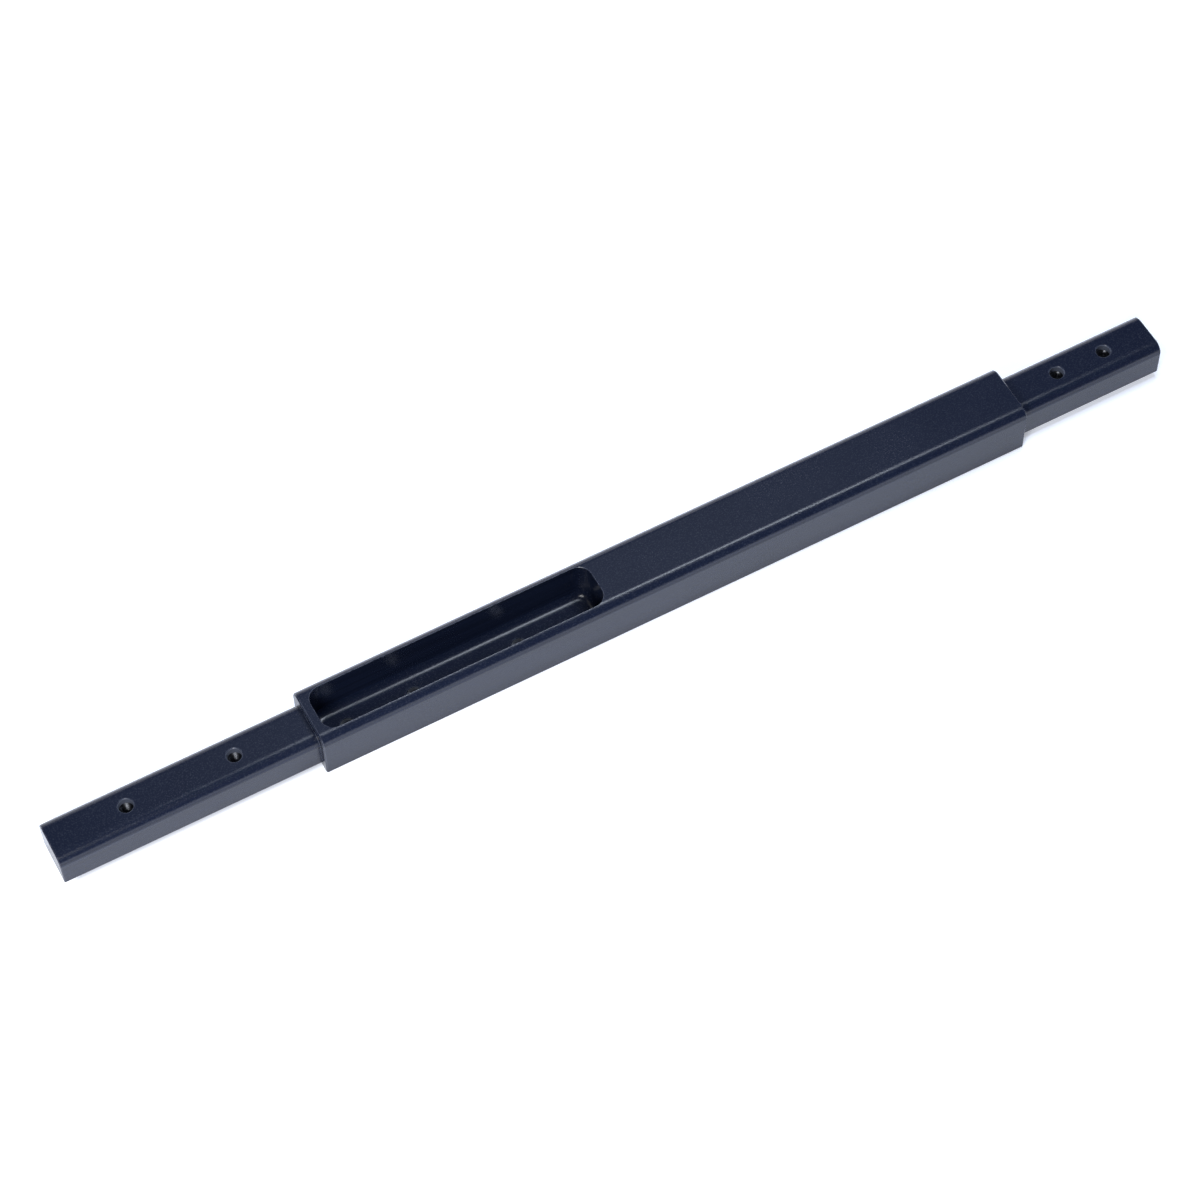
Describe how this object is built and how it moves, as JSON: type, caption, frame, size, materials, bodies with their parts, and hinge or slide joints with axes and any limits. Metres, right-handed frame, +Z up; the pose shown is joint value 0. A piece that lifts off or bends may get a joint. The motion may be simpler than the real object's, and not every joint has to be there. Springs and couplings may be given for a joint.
{
  "type": "adjustable spreader beam",
  "caption": "Dark straight spreader beam: a wider body with a long open pocket, a fixed narrower arm at one end and a sliding one at the other, with vertical bolt holes.",
  "frame": {"origin": "middle of the overall length and width, on the body's flat underside", "axes": "+X along the beam towards the sliding arm, +Y to the far side, +Z up"},
  "size_m": [1.461, 0.08, 0.07],
  "materials": {
    "dark_anodised": "satin dark blue-black anodised, very fine grain",
    "insert_steel": "machined steel, lightly oiled",
    "black_steel": "black oxide steel",
    "dowel_steel": "ground steel",
    "shoe_brass": "milled brass",
    "pad_plastic": "natural acetal, matte",
    "zinc_screw": "zinc plated steel"
  },
  "bodies": {
    "beam": {"beam_body": "dark_anodised", "left_arm": "dark_anodised", "left_arm_inserts": "insert_steel", "left_arm_screws": "black_steel", "left_arm_dowels": "dowel_steel", "clamp_shoe": "shoe_brass", "clamp_screws": "black_steel", "stop_screw": "black_steel", "mouth_pad_top": "pad_plastic", "mouth_pad_bottom": "pad_plastic", "mouth_pad_near": "pad_plastic", "mouth_pad_far": "pad_plastic"},
    "sliding_arm": {"right_arm": "dark_anodised", "right_arm_inserts": "insert_steel", "tail_pad_screws": "zinc_screw", "tail_pad_top": "pad_plastic", "tail_pad_bottom": "pad_plastic", "tail_pad_near": "pad_plastic", "tail_pad_far": "pad_plastic"}
  },
  "joints": [
    {"name": "right_arm_slide", "type": "slide", "parent": "beam", "child": "sliding_arm", "axis": [1, 0, 0], "range_m": [-0.12, 0.16]}
  ]
}
